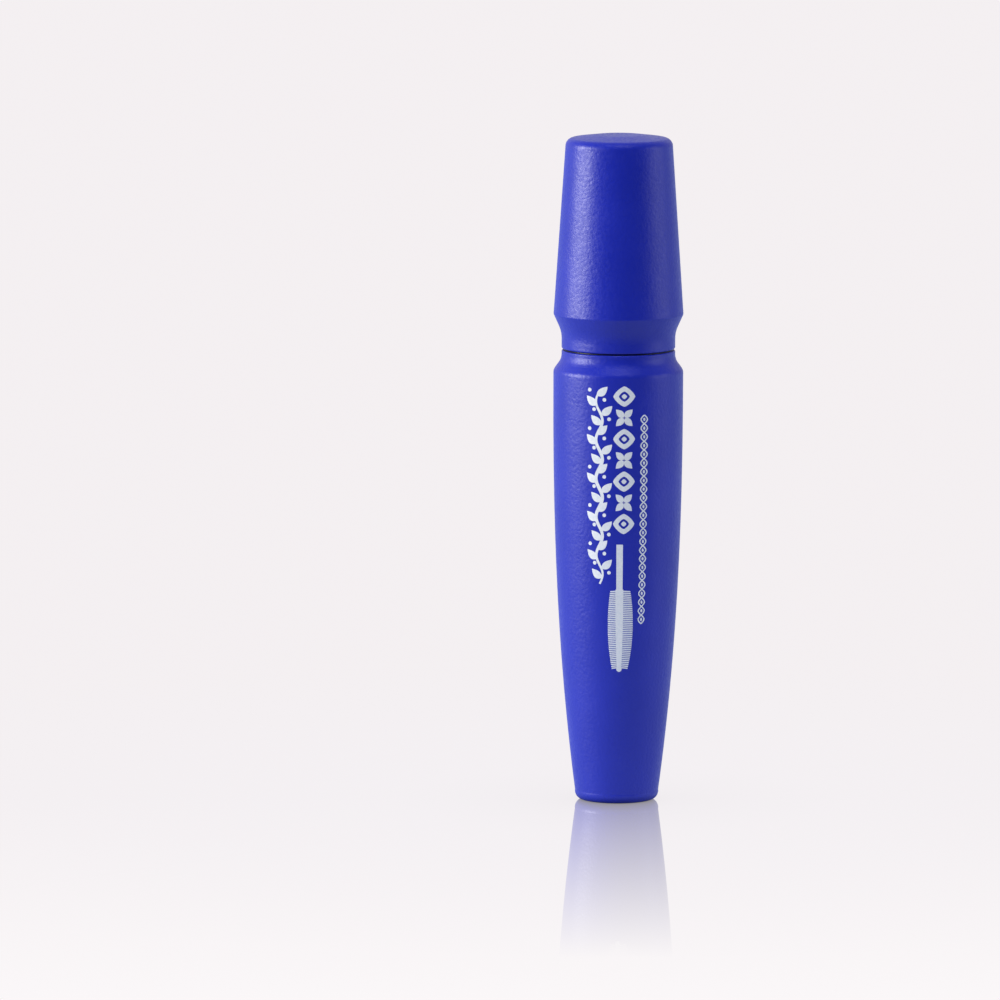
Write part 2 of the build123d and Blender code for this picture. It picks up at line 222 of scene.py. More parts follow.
def bristle_nylon():
    """Nylon fibres coated with paste, less wet than the paste itself."""
    material, tree, principled = new_material("bristle_nylon", middle_tone(BRISTLE_BLUES), 0.3,
                                              Coat_Weight=0.3, Coat_Roughness=0.15)
    place = object_coordinates(tree)
    clots = noise_texture(tree, place, 0.5 * MM)
    vary_color(tree, principled, spread(tree, clots, 0.0, 1.0), BRISTLE_BLUES)
    bump(tree, principled, (clots, 0.05 * MM))
    return material


def steel_wire():
    """Drawn steel wire with lengthwise scratches."""
    material, tree, principled = new_material("steel_wire", STEEL, 0.3, Metallic=1.0)
    place = object_coordinates(tree, (1.0, 1.0, 0.2))
    scratch = noise_texture(tree, place, 0.08 * MM)
    tree.links.new(spread(tree, scratch, 0.2, 0.42), principled.inputs["Roughness"])
    bump(tree, principled, (scratch, 0.004 * MM))
    return material


def sticker_paper():
    """Blank coated paper with a faint fibre."""
    material, tree, principled = new_material("sticker_paper", middle_tone(PAPER_WHITES), 0.45)
    place = object_coordinates(tree)
    fibre = noise_texture(tree, place, 0.3 * MM, detail=4.0, distortion=1.0)
    vary_color(tree, principled, fibre, PAPER_WHITES)
    bump(tree, principled, (fibre, 0.008 * MM))
    return material


def print_ink():
    """Off-white ink, screen printed, with slightly uneven cover."""
    material, tree, principled = new_material("print_ink", middle_tone(INK_WHITES), 0.45)
    place = object_coordinates(tree)
    cover = noise_texture(tree, place, 0.35 * MM, detail=3.0)
    vary_color(tree, principled, spread(tree, cover, 0.0, 1.0), INK_WHITES)
    bump(tree, principled, (cover, 0.006 * MM))
    return material


materials = {make.__name__: make() for make in (
    soft_touch_blue, black_plastic, wiper_plastic, washer_foam, mascara_paste, bristle_nylon, steel_wire,
    sticker_paper, print_ink)}


def paint(obj, name):
    """Gives every material slot of an object one material."""
    if not obj.data.materials:
        obj.data.materials.append(None)
    for index in range(len(obj.data.materials)):
        obj.data.materials[index] = materials[name]


for entry in frame["record"]["subparts"]:
    paint(nodes[entry["node"]], entry["material_slot"])


# ---------------------------------------------------------------- mesh helpers

def new_piece(name, vertices, faces, material, body, smooth=True):
    """A mesh piece that rides on a CAD body."""
    mesh = bpy.data.meshes.new(name)
    mesh.from_pydata([tuple(v) for v in vertices], [], faces)
    mesh.validate()
    mesh.polygons.foreach_set("use_smooth", [smooth] * len(mesh.polygons))
    mesh.update()
    piece = bpy.data.objects.new(name, mesh)
    bpy.context.scene.collection.objects.link(piece)
    mesh.materials.append(materials[material])
    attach(piece, body)
    return piece


def round_point(r, angle, z):
    """A point at radius r, height z and an angle from -Y towards +X."""
    return Vector((r * math.sin(angle), -r * math.cos(angle), z))


def outer_profile(node):
    """A round CAD node's outer side, as (height, radius) pairs up its axis."""
    profile = {}
    for vertex in nodes[node].data.vertices:
        radius = math.hypot(vertex.co.x, vertex.co.y)
        outward = vertex.normal.x * vertex.co.x + vertex.normal.y * vertex.co.y
        if radius > 0 and outward > 0.5 * radius:
            height = round(vertex.co.z, 6)
            profile[height] = max(radius, profile.get(height, 0.0))
    return sorted(profile.items())


def radius_on(profile, z):
    """The radius of a profile at height z."""
    for (low, low_r), (high, high_r) in zip(profile, profile[1:]):
        if low <= z <= high:
            return low_r + (high_r - low_r) * (z - low) / (high - low)
    return profile[0][1] if z < profile[0][0] else profile[-1][1]


class Shape:
    """Vertices and faces of a piece that is made of several closed parts."""

    def __init__(self):
        self.vertices = []
        self.faces = []

    def add(self, vertices, faces):
        start = len(self.vertices)
        self.vertices += vertices
        self.faces += [[start + index for index in face] for face in faces]

    def tube(self, rings, end=None):
        """A closed tube through rings of points, which comes to a point at end if it is given."""
        sides = len(rings[0])
        vertices = [point for ring in rings for point in ring]
        faces = [list(range(sides))[::-1]]
        for low in range(0, len(vertices) - sides, sides):
            faces += [[low + i, low + (i + 1) % sides, low + sides + (i + 1) % sides, low + sides + i]
                      for i in range(sides)]
        last = len(vertices) - sides
        if end is None:
            faces.append([last + i for i in range(sides)])
        else:
            vertices.append(end)
            faces += [[last + i, last + (i + 1) % sides, len(vertices) - 1] for i in range(sides)]
        self.add(vertices, faces)

    def ring(self, sections):
        """A closed ring: sections of points, each joined to the next and the last to the first.

        Seen from above, the sections follow each other anticlockwise. Each runs outwards on its top."""
        sides = len(sections[0])
        count = len(sections)
        vertices = [point for section in sections for point in section]
        faces = [[j * sides + i, j * sides + (i + 1) % sides,
                  (j + 1) % count * sides + (i + 1) % sides, (j + 1) % count * sides + i]
                 for j in range(count) for i in range(sides)]
        self.add(vertices, faces)


# ---------------------------------------------------------------- brush

TWIST_LEAD = 2.38 * MM  # the bristles follow the wire's twist: two spiral rows, one from each strand
PER_TURN = 27  # clumps of bristles in one turn of a row
CORE_R = 2.45 * MM  # where the paste clogs the bristles
CORE_RIDGE = 0.28 * MM
CORE_LUMP = 0.42 * MM
CORE_END = 0.2 * MM  # how far the paste reaches below the bristles
CORE_DEPTH = 0.45 * MM  # how far the paste stays inside the bristles' outline at least
COLLAR_H = 0.4 * MM  # how far the paste reaches up the stem's rounded end
COLLAR_PROUD = 0.07 * MM
COLLAR_BLEND = 0.5 * MM  # the stretch over which the paste turns into the collar

BRISTLE_FOOT_R = 0.9 * MM
BRISTLE_MARGIN = 0.35 * MM  # free of rows at both ends of the bristles
RAGGED = 0.1  # the largest share that a clump falls short of the brush's outline
RAGGED_BY_STEM = 0.22
RAGGED_FROM = 0.86  # share of the brush's length from which the clumps are that uneven
CLUMP_THICK = (0.25, 0.36)  # mm
CLUMP_PAIR = 0.16 * MM  # how far neighbours part to either side
CLUMP_LEAN = 0.14  # mm
CLUMP_LIFT = 0.13  # mm
MISSING_SHARE = 0.05
BARE_FIBRES = 26  # by the stem
BARE_FIBRE_R = 4.15 * MM
BARE_FIBRE_THICK = 0.11 * MM

bristle_low, bristle_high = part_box("bristles")
brush_profile = outer_profile("bristles")


def spiral_phase(z):
    """The direction of the first row of bristles at height z."""
    return 2 * math.pi * (z - bristle_low.z) / TWIST_LEAD


def brush_core():
    """The paste between the bristles: lumpy, ridged along their rows, with a collar on the stem's end."""
    shape = Shape()
    rows, columns = 230, 84
    stem_low, stem_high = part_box("stem")
    low = bristle_low.z - CORE_END
    high = stem_low.z + COLLAR_H
    collar_r = stem_high.x + COLLAR_PROUD
    rings = []
    for row in range(rows):
        z = low + (high - low) * row / (rows - 1)
        collar = min(1.0, max(0.0, (z - bristle_high.z + COLLAR_BLEND) / COLLAR_BLEND))
        limit = radius_on(brush_profile, z) - CORE_DEPTH
        ring = []
        for column in range(columns):
            angle = 2 * math.pi * column / columns
            ridge = math.cos(2 * (angle - spiral_phase(z)))
            lump = noise.noise(round_point(3.1, angle, z / MM * 1.3))
            fine = noise.noise(round_point(9.0, angle, z / MM * 3.4 + 40))
            r = min(CORE_R + CORE_RIDGE * ridge + CORE_LUMP * lump + 0.4 * CORE_LUMP * fine, limit)
            ring.append(round_point(r + (collar_r - r) * collar, angle, z))
        rings.append(ring)
    shape.tube(rings)
    new_piece("brush_paste", shape.vertices, shape.faces, "mascara_paste", "cap")


def spike(shape, angle, z, reach, thick, lean, lift):
    """One clump of bristles: a blunt tapered spike from the core, bent a little sideways and along Z."""
    sides, steps = 7, 7
    rings = []
    for step in range(steps + 1):
        t = min(step / steps, 0.985)
        girth = thick * (1.1 - 0.7 * t ** 1.3) * (0.6 if step == steps else 1.0)
        middle = Vector((BRISTLE_FOOT_R + (reach - BRISTLE_FOOT_R) * t, lean * t * t, z + lift * t * t))
        rings.append([middle + Vector((0, girth * math.cos(turn), 0.9 * girth * math.sin(turn)))
                      for turn in (2 * math.pi * i / sides for i in range(sides))])
    tip = Vector((reach, lean, z + lift))
    turned = Matrix.Rotation(angle, 3, "Z")
    shape.tube([[turned @ point for point in ring] for ring in rings], turned @ tip)


def brush_spikes():
    """Two spiral rows of clumped bristles, thick with paste, and a few bare fibres by the stem."""
    shape = Shape()
    length = bristle_high.z - bristle_low.z
    turns = (length - 2 * BRISTLE_MARGIN) / TWIST_LEAD
    for row in range(2):
        for index in range(int(turns * PER_TURN)):
            z = bristle_low.z + BRISTLE_MARGIN + TWIST_LEAD * index / PER_TURN
            angle = spiral_phase(z) + math.pi * row - math.pi / 2
            ragged = RAGGED_BY_STEM if (z - bristle_low.z) / length > RAGGED_FROM else RAGGED
            reach = radius_on(brush_profile, z) * (1 - random.random() * ragged)
            thick = random.uniform(*CLUMP_THICK) * MM
            side = 1 if index % 2 else -1
            lean = CLUMP_PAIR * side + random.uniform(-CLUMP_LEAN, CLUMP_LEAN) * MM
            lift = random.uniform(-CLUMP_LIFT, CLUMP_LIFT) * MM
            if random.random() < MISSING_SHARE:
                continue
            spike(shape, angle, z, math.sqrt(reach ** 2 - lean ** 2), thick, lean, lift)
    for index in range(BARE_FIBRES):
        angle = 2 * math.pi * index / BARE_FIBRES + random.uniform(-0.1, 0.1)
        z = bristle_high.z - random.uniform(0.1, 1.6) * MM
        reach = BARE_FIBRE_R * random.uniform(0.9, 1.0)
        spike(shape, angle, z, reach, BARE_FIBRE_THICK, 0.0, random.uniform(-0.25, 0.1) * MM)
    piece = new_piece("brush_bristles", shape.vertices, shape.faces, "bristle_nylon", "cap")
    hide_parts("bristles")


# The bead's side, from the bristles to its end: shares of its length and of its widest radius
BEAD_SIDE = (
    (0.0, 0.66),
    (0.06, 0.84),
    (0.14, 0.95),
    (0.25, 0.99),
    (0.45, 0.89),
    (0.7, 0.7),
    (0.9, 0.53),
    (1.0, 0.42),
)
BEAD_OVERLAP = 0.75 * MM  # how far the bead runs up over the first bristles
BEAD_LOBES = ((-0.5, 0.1, 0.46), (0.66, -0.15, 0.2))  # across, depth and height of its two lobes, in mm
BEAD_DOME = 0.12  # mm
LOBE_R = 0.52  # mm
LOBES_FROM = 0.6  # share of the bead's side from which its lobes swell


def tip_bead():
    """The glossy bead on the brush's tip: a blunt fluted cone that ends in two lobes."""
    low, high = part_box("tip_paste")
    top = high.z + BEAD_OVERLAP
    end = low.z + (BEAD_LOBES[0][2] + BEAD_DOME) * MM
    side_rows, end_rows, columns = 26, 10, 60
    rings = []
    for row in range(side_rows + end_rows):
        t = min(1.0, row / side_rows)
        closed = max(0.0, (row - side_rows) / end_rows)
        share = radius_on(BEAD_SIDE, t) * (1 - closed)
        ring = []
        for column in range(columns):
            angle = 2 * math.pi * column / columns
            flute = 1 + 0.2 * t * noise.noise(round_point(2.0, angle, 3.0 + t)) + 0.035 * math.cos(3 * angle)
            flute += 0.12 * noise.noise(round_point(3.6, angle, 7.0 + 2.5 * t))
            x = high.x * share * flute * math.cos(angle)
            y = high.x * share * flute * math.sin(angle)
            drop = (top - end) * t + BEAD_DOME * MM * (1 - (1 - closed) ** 2)
            for across, depth, height in BEAD_LOBES:
                near = math.hypot(x / MM - across, y / MM - depth) / LOBE_R
                drop += height * MM * math.exp(-near ** 2) * max(0.0, t - LOBES_FROM) / (1 - LOBES_FROM)
            ring.append(Vector((x, y, top - drop)))
        rings.append(ring[::-1])
    shape = Shape()
    shape.tube(rings, sum(rings[-1], Vector()) / columns)
    piece = new_piece("tip_bead", shape.vertices, shape.faces, "mascara_paste", "cap")
    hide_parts("tip_paste")


FILM_LEVELS = (0.0, 0.02, 0.2, 0.45, 0.7, 0.9, 0.97, 1.0)  # shares of the film's height
FILM_GAP = 0.006 * MM  # between the film and the stem
FILM_RAGGED = 0.03 * MM  # how uneven the film's lower edge is
FILM_EDGE = 0.02 * MM  # how far the film's inner corners stand back from its ends
FILM_EDGE_SHARE = 0.35  # of the film's thickness at its ends


def stem_film():
    """The thin ring of paste on the stem, crisp above and ragged towards the brush."""
    low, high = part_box("stem_paste")
    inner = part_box("stem")[1].x + FILM_GAP
    outer = high.x
    sections = []
    columns = 120
    for column in range(columns):
        angle = 2 * math.pi * column / columns
        bottom = low.z + COLLAR_H + FILM_RAGGED * (1.2 + noise.noise(round_point(2.2, angle, 5.0)))
        section = [round_point(inner, angle, bottom + FILM_EDGE)]
        for level in FILM_LEVELS:
            z = bottom + (high.z - bottom) * level
            swell = 0.55 + 0.45 * noise.noise(round_point(2.8, angle, z / MM * 0.9))
            edge = FILM_EDGE_SHARE if level in (0.0, 1.0) else 1.0
            r = inner + (outer - inner) * edge * max(0.25, min(1.0, swell))
            section.append(round_point(r, angle, z))
        section.append(round_point(inner, angle, high.z - FILM_EDGE))
        sections.append(section[::-1])
    shape = Shape()
    shape.ring(sections)
    piece = new_piece("stem_film", shape.vertices, shape.faces, "mascara_paste", "paste_ring")
    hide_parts("stem_paste")


brush_core()
brush_spikes()
tip_bead()
stem_film()


# ---------------------------------------------------------------- printed ornament

PRINT_R = 10.5  # mm; across the print, lengths run round the barrel at this radius
INK_PROUD = 0.012 * MM
INK_LAYER = 0.003 * MM  # how much higher the ink stands where it crosses other ink
INK_BURIED = 0.03 * MM
PRINT_STEP = 0.4  # mm; the longest step between points, so that the ink follows the curve

# Where the print's columns stand across the front, and their lower and upper ends, in mm
VINE = (-3.2, 36.5, 67.8)
MOTIFS = (0.9, 44.6, 68.8)
MOTIF_COUNT = 7
BRAID = (4.25, 29.9, 64.0)
BRAID_EYES = 24
# Where the picture of a brush stands, the top of its handle, and its bristles' top and end, in mm
BRUSH_PICTURE = (0.25, 42.95, 35.6, 22.5)

barrel_profile = outer_profile("barrel_shell")


def printed(across, up, proud):
    """The point on the barrel at a distance round it and a height, both in mm."""
    z = up * MM
    return round_point(radius_on(barrel_profile, z) + proud, across / PRINT_R, z)


def ink(shape, points, faces, layer=0):
    """A closed slab of ink from flat points and faces: its top, its underside and its edge."""
    count = len(points)
    proud = INK_PROUD + layer * INK_LAYER
    vertices = [printed(x, z, proud) for x, z in points]
    vertices += [printed(x, z, -INK_BURIED) for x, z in points]
    solid = [list(face) for face in faces]
    solid += [[count + index for index in face[::-1]] for face in faces]
    edges = {(first, second) for face in faces for first, second in zip(face, face[1:] + face[:1])}
    for first, second in sorted(edges):
        if (second, first) not in edges:
            solid.append([second, first, count + first, count + second])
    shape.add(vertices, solid)


def stroke(shape, route, width, layer=0):
    """A line of ink along points, with one width or a width for each."""
    widths = width if isinstance(width, list) else [width] * len(route)
    points = []
    for index, (x, z) in enumerate(route):
        before = route[max(index - 1, 0)]
        after = route[min(index + 1, len(route) - 1)]
        run, rise = after[0] - before[0], after[1] - before[1]
        half = 0.5 * widths[index] / math.hypot(run, rise)
        points.append((x - rise * half, z + run * half))
        points.append((x + rise * half, z - run * half))
    faces = [[2 * i, 2 * i + 1, 2 * i + 3, 2 * i + 2] for i in range(len(route) - 1)]
    ink(shape, points, faces, layer)


def patch(shape, middle, outline, hollow=0.0, layer=0):
    """A shape between an outline round a middle and the same outline shrunk to a share of its size."""
    sides = len(outline)
    reach = max(math.hypot(x, z) for x, z in outline) * (1 - hollow)
    rings = max(1, math.ceil(reach / PRINT_STEP))
    shares = [hollow + (1 - hollow) * ring / rings for ring in range(rings + 1)]
    points = [] if hollow else [middle]
    for share in shares if hollow else shares[1:]:
        points += [(middle[0] + x * share, middle[1] + z * share) for x, z in outline]
    first_ring = 0 if hollow else 1
    faces = [] if hollow else [[0, 1 + i, 1 + (i + 1) % sides] for i in range(sides)]
    for low in range(first_ring, len(points) - sides, sides):
        faces += [[low + i, low + sides + i, low + sides + (i + 1) % sides, low + (i + 1) % sides]
                  for i in range(sides)]
    ink(shape, points, faces, layer)


def oval(across, up, sides=20):
    """An ellipse's outline."""
    return [(across * math.cos(2 * math.pi * i / sides), up * math.sin(2 * math.pi * i / sides))
            for i in range(sides)]


def lozenge(across, up, sides=40):
    """A diamond's outline with soft corners and slightly full sides."""
    power = 1.35
    outline = []
    for i in range(sides):
        turn = 2 * math.pi * i / sides
        c, s = math.cos(turn), math.sin(turn)
        r = (abs(c) ** power + abs(s) ** power) ** (-1 / power)
        outline.append((across * r * c, up * r * s))
    return outline


def leaf(length, width, direction, bend=0.0):
    """A pointed leaf's outline round its own middle, along a direction in degrees."""
    sides = 22
    turn = math.radians(direction)
    outline = []
    for i in range(sides):
        t = i / sides
        along = 2 * t if t < 0.5 else 2 - 2 * t
        edge = -1 if t < 0.5 else 1
        x = (along - 0.5) * length
        y = edge * 0.5 * width * math.sin(math.pi * along ** 0.8) ** 0.9 + bend * (along - 0.5) ** 2
        outline.append((x * math.cos(turn) - y * math.sin(turn), x * math.sin(turn) + y * math.cos(turn)))
    return outline


def leafy_vine(shape, middle, low, high):
    """A winding stem with leaves on both sides and a berry beside each leaf."""
    turns = 5
    sway = 0.55
    steps = 120
    stem_width, end_width = 0.56, 0.32
    leaf_length, leaf_width = 2.3, 1.25
    leaf_gap = 0.1
    berry_r = 0.31

    def stem_at(t):
        return middle + sway * math.sin(2 * math.pi * turns * t), low + (high - low) * t

    stroke(shape, [stem_at(i / steps) for i in range(steps + 1)],
           [stem_width - (stem_width - end_width) * abs(2 * i / steps - 1) ** 2 for i in range(steps + 1)],
           layer=2)
    leaves = 4 * turns
    for index in range(leaves):
        x, z = stem_at((index + 0.5) / leaves)
        side = 1 if index % 2 else -1
        direction = 90 - side * 50
        turn = math.radians(direction)
        reach = 0.5 * leaf_length + leaf_gap
        patch(shape, (x + reach * math.cos(turn), z + reach * math.sin(turn)),
              leaf(leaf_length, leaf_width, direction, bend=0.5 * side))
        patch(shape, (x - side * 1.25, z + 1.05), oval(berry_r, berry_r, 14))


def motif_row(shape, middle, low, high, count):
    """Open lozenges with a dot, and four-petalled flowers, by turns."""
    petal_r = 1.0
    petal_length, petal_width = 1.8, 1.1
    step = (high - low) / count
    for index in range(count):
        z = low + step * (index + 0.5)
        if index % 2:
            for direction in (45, 135, 225, 315):
                turn = math.radians(direction)
                patch(shape, (middle + petal_r * math.cos(turn), z + petal_r * math.sin(turn)),
                      leaf(petal_length, petal_width, direction))
        else:
            patch(shape, (middle, z), lozenge(1.78, 1.66), hollow=0.5)
            patch(shape, (middle, z), lozenge(0.44, 0.42, sides=20))


def braid(shape, middle, low, high, eyes):
    """Two fine waves that cross, with a dot in each eye."""
    sway = 0.56
    line_width = 0.21
    steps = 12 * eyes
    for layer, phase in enumerate((0, math.pi)):
        route = []
        for i in range(steps + 1):
            t = i / steps
            route.append((middle + sway * math.sin(math.pi * eyes * t + phase), low + (high - low) * t))
        stroke(shape, route, line_width, layer)
    for index in range(eyes):
        patch(shape, (middle, low + (high - low) * (index + 0.5) / eyes), oval(0.19, 0.28, 12))


def brush_picture(shape, middle, handle_top, bristle_top, bristle_end):
    """A plain picture of a brush: a handle, a core and fine bristles on both sides."""
    steps = 50
    handle_width = 1.1
    core_width, core_end_width = 1.35, 0.8
    hairs = 42
    hair_width = 0.2
    hair_root = 0.3  # across, from the middle
    hair_steps = 4

    def line(top, bottom, count):
        return [(middle, top + (bottom - top) * i / count) for i in range(count + 1)]

    stroke(shape, line(handle_top, bristle_top, steps), handle_width, layer=2)
    stroke(shape, line(bristle_top, bristle_end, steps),
           [core_width + (core_end_width - core_width) * (i / steps) ** 3 for i in range(steps + 1)],
           layer=3)
    patch(shape, (middle, bristle_end), oval(0.5, 0.45, 16), layer=1)
    for index in range(hairs):
        t = (index + 0.5) / hairs
        z = bristle_top - 0.1 - (bristle_top - bristle_end - 0.2) * t
        swell = math.sin(math.pi * (0.2 + 0.66 * t)) ** 0.5
        for side, reach in ((-1, 2.05), (1, 2.45)):
            run = side * (reach * swell - hair_root) / hair_steps
            route = [(middle + side * hair_root + run * i, z - 0.03 * i) for i in range(hair_steps + 1)]
            stroke(shape, route, hair_width)


def print_ornament():
    """The print on the barrel's front, as thin closed slabs of ink."""
    shape = Shape()
    leafy_vine(shape, *VINE)
    motif_row(shape, *MOTIFS, MOTIF_COUNT)
    braid(shape, *BRAID, BRAID_EYES)
    brush_picture(shape, *BRUSH_PICTURE)
    new_piece("front_print", shape.vertices, shape.faces, "print_ink", "bottle",
              smooth=False)


print_ornament()


# ---------------------------------------------------------------- paste left in the neck

# The wiper's funnel, from its lip to its bore
FUNNEL_R = (2.52 * MM, 4.38 * MM)
FUNNEL_TOP = 76.2 * MM
LIP_H = 0.5 * MM
SMEAR_GAP = 0.012 * MM  # the smear starts this far outside the funnel's face
SMEAR_THICK = (0.03, 0.12)  # mm


def neck_residue():
    """A thin smear of paste round the wiper's funnel, where the brush is stripped."""
    lip_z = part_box("wiper")[0].z + LIP_H
    lip_r, bore_r = FUNNEL_R
    thin, full = SMEAR_THICK
    sections = []
    columns = 144
    rows = 12
    for column in range(columns):
        angle = 2 * math.pi * column / columns
        reach = 0.5 + 0.42 * noise.noise(round_point(1.6, angle, 2.0))
        reach += 0.16 * noise.noise(round_point(5.0, angle, 8.0))
        reach = max(0.12, min(0.92, reach))
        outside, inside = [], []
        for row in range(rows + 1):
            t = reach * row / rows
            z = lip_z + (FUNNEL_TOP - lip_z) * t
            r = lip_r + (bore_r - lip_r) * t
            lump = 0.5 + 0.5 * noise.noise(round_point(4.0, angle, z / MM * 1.7))
            taper = math.sin(math.pi * (0.06 + 0.9 * row / rows)) ** 0.5
            thick = (thin + (full - thin) * lump) * MM * taper
            outside.append(round_point(r + SMEAR_GAP, angle, z))
            inside.append(round_point(r - thick, angle, z + 0.5 * thick))
        sections.append(inside + outside[::-1])
    shape = Shape()
    shape.ring(sections)
    new_piece("neck_smear", shape.vertices, shape.faces, "mascara_paste", "bottle")


neck_residue()


# ---------------------------------------------------------------- rim of the vial's flange, partly painted shade

RIM_INSET = 0.3 * MM  # how far the rim stays inside the waist
RIM_WIDTH = 1.0 * MM
RIM_EDGE = 0.05 * MM
RIM_GAP = 0.05 * MM  # between the rim and the closed cap
RIM_BURIED = 0.01 * MM


def flange_rim_and_gap_shade():
    """The rim of the vial's flange, which covers the barrel's mouth and fills the line under the cap. It is
    black like the vial, and also as painted shade: a dark ring that keeps the line under the cap as dark as
    shade in a gap.
    """
    joint_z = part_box("barrel_shell")[1].z
    low = joint_z - RIM_BURIED
    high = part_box("cap_shell")[0].z - RIM_GAP
    outer = radius_on(barrel_profile, joint_z - 0.5 * MM) - RIM_INSET
    inner = outer - RIM_WIDTH
    profile = ((inner, high), (outer - RIM_EDGE, high), (outer, high - RIM_EDGE), (outer, low), (inner, low))
    columns = 180
    shape = Shape()
    shape.ring([[round_point(r, 2 * math.pi * column / columns, z) for r, z in profile]
                for column in range(columns)])
    # Black plastic like the vial, which also stands in as painted shade in the line under the cap
    new_piece("flange_rim_and_gap_shade", shape.vertices, shape.faces, "black_plastic", "bottle")


flange_rim_and_gap_shade()


# ---------------------------------------------------------------- camera, light and floor

def area_light(name, place, aim, size, power, color=(1.0, 1.0, 1.0), mirrored=True):
    """A rectangular softbox that faces a point. It shows in glossy surfaces if it is mirrored."""
    data = bpy.data.lights.new(name, "AREA")
    data.shape = "RECTANGLE"
    data.size, data.size_y = size
    data.energy = power
    data.color = color
    light = bpy.data.objects.new(name, data)
    light.location = place
    light.rotation_euler = (Vector(aim) - Vector(place)).to_track_quat("-Z", "Y").to_euler()
    light.visible_camera = False
    light.visible_glossy = mirrored
    bpy.context.scene.collection.objects.link(light)


CAMERA_LENS = 450.0  # mm
CAMERA_SENSOR = 36.0  # mm
CAMERA_ELEVATION = math.radians(7.2)
VIEW_WIDTH = 0.1622  # width of the view at the tube
CAMERA_ROLL = math.radians(0.17)
AIM = Vector((-0.0191, 0.0, 0.04889))  # the tube stands right of the picture's middle

camera_data = bpy.data.cameras.new("camera")
camera_data.lens = CAMERA_LENS
camera_data.sensor_width = CAMERA_SENSOR
camera_data.clip_start = 0.01
camera_data.clip_end = 100.0
camera = bpy.data.objects.new("camera", camera_data)
bpy.context.scene.collection.objects.link(camera)
distance = VIEW_WIDTH * CAMERA_LENS / CAMERA_SENSOR
camera.location = AIM + distance * Vector((0, -math.cos(CAMERA_ELEVATION), math.sin(CAMERA_ELEVATION)))
facing = (AIM - camera.location).to_track_quat("-Z", "Y")
camera.rotation_euler = (facing @ Quaternion((0.0, 0.0, 1.0), CAMERA_ROLL)).to_euler()
bpy.context.scene.camera = camera

FLOOR_HALF = 40.0  # half the side of the floor
BACKDROP = (0.905, 0.868, 0.884)
# The floor's lighter tone in front of the tube is painted light: a painted pool of light that fades into the
# backdrop
FLOOR_PAINTED_LIGHT = (0.975, 0.948, 0.957)
PAINTED_LIGHT_REACH = 0.25  # how far in front of the tube the floor reaches the full tone of its painted light
PAINTED_LIGHT_FADE = (0.35, 1.0)  # how far from the tube the painted light starts and ends its fade into the backdrop
POLISH_REACH = 0.16  # how far from the tube the floor's polish shows
POLISH_SHARE = 0.64  # of the polish, at the tube
POLISH_TINT = (1.0, 1.012, 1.025)
SHADOW_REACH = 0.03
SHADOW_TONE = 0.75
SHADOW_OPEN = 0.97  # openness at which the floor has no shadow
BOUNCE_TINT = (0.72, 0.84, 1.3)  # colour of the light that the floor throws back on the tube
BOUNCE_Y = (-0.45, -0.05)  # from front to back, where that light grows
BOUNCE_STRENGTH = (0.02, 0.72)
FOOT_SHADE = (0.0055, 0.0085)  # how far from the axis it starts and is full


def combine(tree, operation, first, second):
    """Two sockets combined by a math operation."""
    node = add_node(tree, "ShaderNodeMath", operation=operation)
    tree.links.new(first, node.inputs[0])
    tree.links.new(second, node.inputs[1])
    return node.outputs[0]


def mix_shaders(tree, factor, first, second):
    """Mixes two shaders by a socket."""
    node = tree.nodes.new("ShaderNodeMixShader")
    tree.links.new(factor, node.inputs["Fac"])
    tree.links.new(first.outputs[0], node.inputs[1])
    tree.links.new(second.outputs[0], node.inputs[2])
    return node


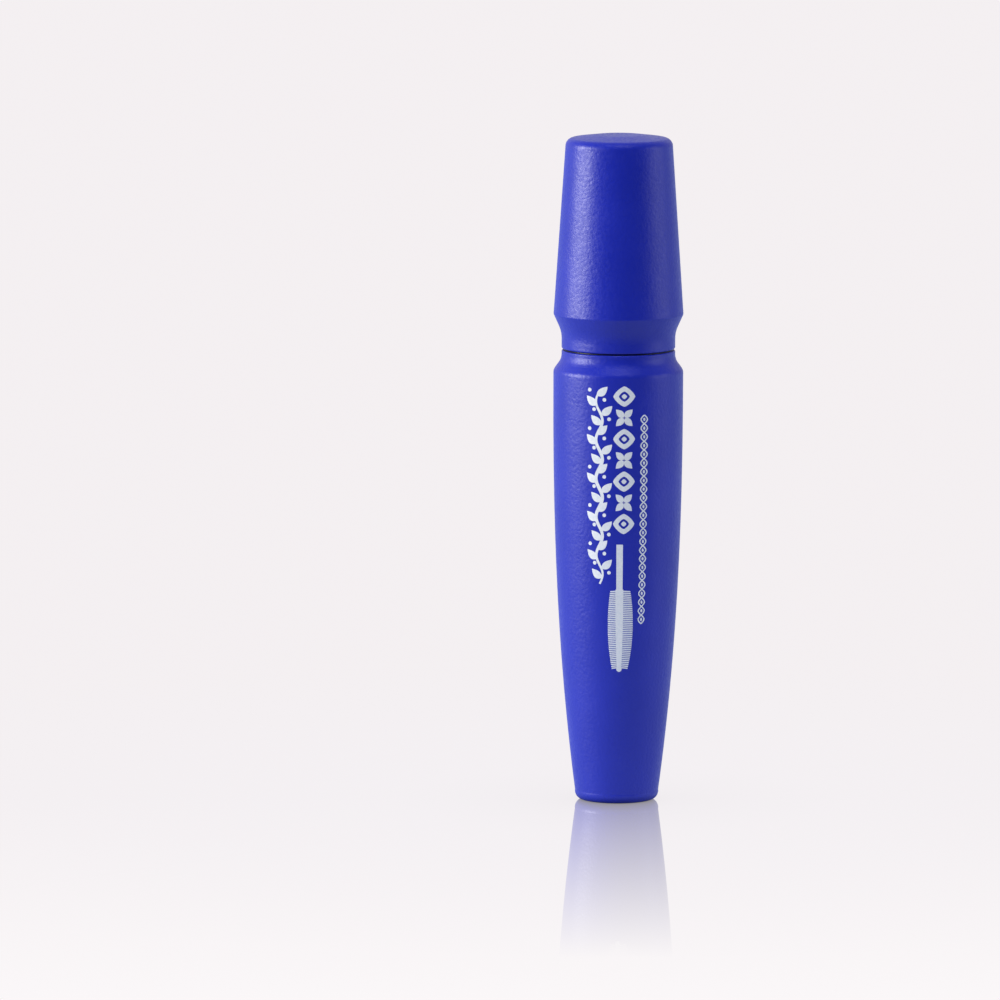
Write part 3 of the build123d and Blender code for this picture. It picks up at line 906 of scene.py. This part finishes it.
def floor():
    """A pale, glowing floor, polished round the tube, with a painted soft shadow where things stand on it
    and painted light that makes it lighter in front of the tube. The light that it throws back has its own
    strength and colour."""
    corners = [(x * FLOOR_HALF, y * FLOOR_HALF, 0.0) for x, y in ((-1, -1), (1, -1), (1, 1), (-1, 1))]
    mesh = bpy.data.meshes.new("floor")
    mesh.from_pydata(corners, [], [(0, 1, 2, 3)])
    obj = bpy.data.objects.new("floor", mesh)
    bpy.context.scene.collection.objects.link(obj)
    material = bpy.data.materials.new("floor")
    material.use_nodes = True
    tree = material.node_tree
    tree.nodes.clear()
    place = tree.nodes.new("ShaderNodeTexCoord").outputs["Object"]
    length = add_node(tree, "ShaderNodeVectorMath", operation="LENGTH")
    tree.links.new(place, length.inputs[0])
    split = tree.nodes.new("ShaderNodeSeparateXYZ")
    tree.links.new(place, split.inputs[0])

    # Painted light: the floor's tone is lighter in front of the tube and fades with distance from it
    painted_light = map_range(tree, split.outputs["Y"], 0.0, -PAINTED_LIGHT_REACH, 0.0, 1.0)
    near = map_range(tree, length.outputs["Value"], *PAINTED_LIGHT_FADE, 1.0, 0.0, "SMOOTHSTEP")
    tone = blend_colors(tree, combine(tree, "MULTIPLY", painted_light, near), BACKDROP, FLOOR_PAINTED_LIGHT)
    openness = add_node(tree, "ShaderNodeAmbientOcclusion", samples=8, Distance=SHADOW_REACH)
    shadow = map_range(tree, openness.outputs["AO"], 0.0, SHADOW_OPEN, SHADOW_TONE, 1.0)
    glow = tree.nodes.new("ShaderNodeEmission")
    tree.links.new(tone, glow.inputs["Color"])
    tree.links.new(shadow, glow.inputs["Strength"])
    polish = add_node(tree, "ShaderNodeBsdfGlossy", Roughness=0.0, Color=(*POLISH_TINT, 1.0))
    share = map_range(tree, length.outputs["Value"], 0.0, POLISH_REACH, POLISH_SHARE, 0.0)
    surface = mix_shaders(tree, share, glow, polish)

    bounce = add_node(tree, "ShaderNodeEmission", Color=(*BOUNCE_TINT, 1.0))
    lit = map_range(tree, split.outputs["Y"], *BOUNCE_Y, *BOUNCE_STRENGTH)
    clear = map_range(tree, length.outputs["Value"], *FOOT_SHADE, 0.0, 1.0)
    tree.links.new(combine(tree, "MULTIPLY", lit, clear), bounce.inputs["Strength"])
    seen = tree.nodes.new("ShaderNodeLightPath").outputs["Is Camera Ray"]
    final = mix_shaders(tree, seen, bounce, surface)
    output = tree.nodes.new("ShaderNodeOutputMaterial")
    tree.links.new(final.outputs[0], output.inputs["Surface"])
    mesh.materials.append(material)


WORLD_TINT = (1.0, 0.985, 0.99)
WORLD_Y = (-0.3, 1.0)  # from front to back, where the surround's light grows
WORLD_STRENGTH = (0.03, 0.75)
WORLD_RIGHT = 0.7  # share of its light that is left at the far right


def studio_world():
    """A surround that is pale where it is seen, straight or in the floor's polish. As a light it is bright
    behind and dark on the side that faces the print."""
    world = bpy.data.worlds.new("studio")
    bpy.context.scene.world = world
    world.use_nodes = True
    tree = world.node_tree
    tree.nodes.clear()
    direction = tree.nodes.new("ShaderNodeTexCoord").outputs["Generated"]
    split = tree.nodes.new("ShaderNodeSeparateXYZ")
    tree.links.new(direction, split.inputs[0])
    lit = add_node(tree, "ShaderNodeBackground", Color=(*WORLD_TINT, 1.0))
    behind = map_range(tree, split.outputs["Y"], *WORLD_Y, *WORLD_STRENGTH)
    left = map_range(tree, split.outputs["X"], 0.0, 1.0, 1.0, WORLD_RIGHT)
    tree.links.new(combine(tree, "MULTIPLY", behind, left), lit.inputs["Strength"])
    pale = add_node(tree, "ShaderNodeBackground", Color=(*BACKDROP, 1.0), Strength=1.0)
    path = tree.nodes.new("ShaderNodeLightPath")
    seen = combine(tree, "MAXIMUM", path.outputs["Is Camera Ray"], path.outputs["Is Singular Ray"])
    final = mix_shaders(tree, seen, lit, pale)
    output = tree.nodes.new("ShaderNodeOutputWorld")
    tree.links.new(final.outputs[0], output.inputs["Surface"])


floor()
studio_world()
area_light("key_left", place=(-0.739, -0.13, 0.24), aim=(0, 0, 0.06), size=(0.5, 0.36), power=7.0,
           color=(1.0, 0.975, 0.98))
area_light("fill_right", place=(0.75, -0.1, 0.2), aim=(0, 0, 0.055), size=(0.5, 0.5), power=1.1)
area_light("front_top", place=(0.05, -0.4, 0.85), aim=(0, 0, 0.04), size=(0.5, 0.5), power=6.0,
           mirrored=False)
bpy.context.scene.view_settings.view_transform = "Standard"
